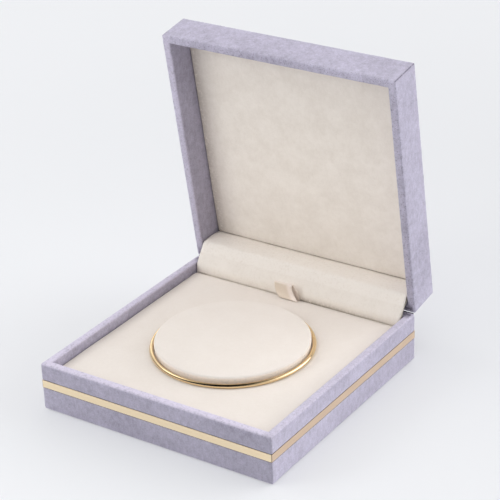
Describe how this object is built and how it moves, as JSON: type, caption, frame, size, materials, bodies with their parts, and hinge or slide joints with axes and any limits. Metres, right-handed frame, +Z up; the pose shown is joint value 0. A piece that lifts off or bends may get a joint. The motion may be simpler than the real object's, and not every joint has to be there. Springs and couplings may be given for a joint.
{
  "type": "bangle box",
  "caption": "Square presentation box for a bangle, its hinged lid standing open over a lift-out velvet insert with a round cushion that holds the bangle.",
  "frame": {"origin": "centre of the base's underside", "axes": "+Z up, -Y towards the front, +X to the right seen from the front; the lid hinges at +Y"},
  "size_m": [0.1, 0.1148, 0.1208],
  "materials": {
    "lilac_suede": "matt napped suede cloth",
    "cream_velvet": "matt short velvet",
    "lining_cloth": "matt woven cloth",
    "grey_board": "matt pressed grey board",
    "card": "matt card",
    "foam": "matt soft foam sheet",
    "cushion_board": "matt padded card",
    "gold_strip": "satin gold colour",
    "bangle_gold": "polished gold colour",
    "hinge_steel": "satin plated steel",
    "ribbon": "satin ribbon"
  },
  "bodies": {
    "base": {"base_front_board": "grey_board", "base_rear_board": "grey_board", "base_left_board": "grey_board", "base_right_board": "grey_board", "base_floor_board": "grey_board", "base_floor_lining": "lining_cloth", "base_suede_wrap": "lilac_suede", "underside_cloth": "lining_cloth", "trim_strip_front": "gold_strip", "trim_strip_right": "gold_strip", "trim_strip_rear": "gold_strip", "trim_strip_left": "gold_strip", "hinge_base_leaves": "hinge_steel", "hinge_pins": "hinge_steel", "hinge_springs": "hinge_steel", "hinge_base_screws": "hinge_steel"},
    "lid": {"lid_front_board": "grey_board", "lid_rear_board": "grey_board", "lid_left_board": "grey_board", "lid_right_board": "grey_board", "lid_roof_board": "grey_board", "lid_suede_wrap": "lilac_suede", "lid_pad_card": "card", "lid_pad_velvet": "cream_velvet", "hinge_lid_leaves": "hinge_steel", "hinge_lid_screws": "hinge_steel", "cover_upper_card": "card", "cover_upper_velvet": "cream_velvet"},
    "cover_middle": {"cover_middle_card": "card", "cover_middle_velvet": "cream_velvet"},
    "cover_lower": {"cover_lower_card": "card", "cover_lower_velvet": "cream_velvet"},
    "insert": {"insert_risers": "card", "insert_platform": "card", "insert_foam": "foam", "insert_velvet": "cream_velvet", "cushion_core": "cushion_board", "cushion_velvet": "cream_velvet", "pull_tab": "ribbon"},
    "bangle": {"bangle": "bangle_gold"}
  },
  "joints": [
    {"name": "lid_hinge", "type": "hinge", "parent": "base", "child": "lid", "pos_m": [0, 0.0502, 0.0196], "axis": [1, 0, 0], "range_deg": [0, 81]},
    {"name": "cover_fold", "type": "hinge", "parent": "lid", "child": "cover_middle", "pos_m": [0, 0.05004, 0.02509], "axis": [1, 0, 0], "range_deg": [-41.5, 0]},
    {"name": "cover_slide", "type": "slide", "parent": "base", "child": "cover_lower", "axis": [0, 0, -1], "range_m": [0, 0.0069]},
    {"name": "insert_lift", "type": "slide", "parent": "base", "child": "insert", "axis": [0, 0, 1], "range_m": [0, 0.006]},
    {"name": "bangle_lift", "type": "slide", "parent": "insert", "child": "bangle", "axis": [0, 0, 1], "range_m": [0, 0.0065]}
  ],
  "couplings": [
    {"joint": "cover_fold", "follows": "lid_hinge", "ratio": -0.51},
    {"joint": "cover_slide", "follows": "lid_hinge", "m_per_rad": 0.00488}
  ]
}
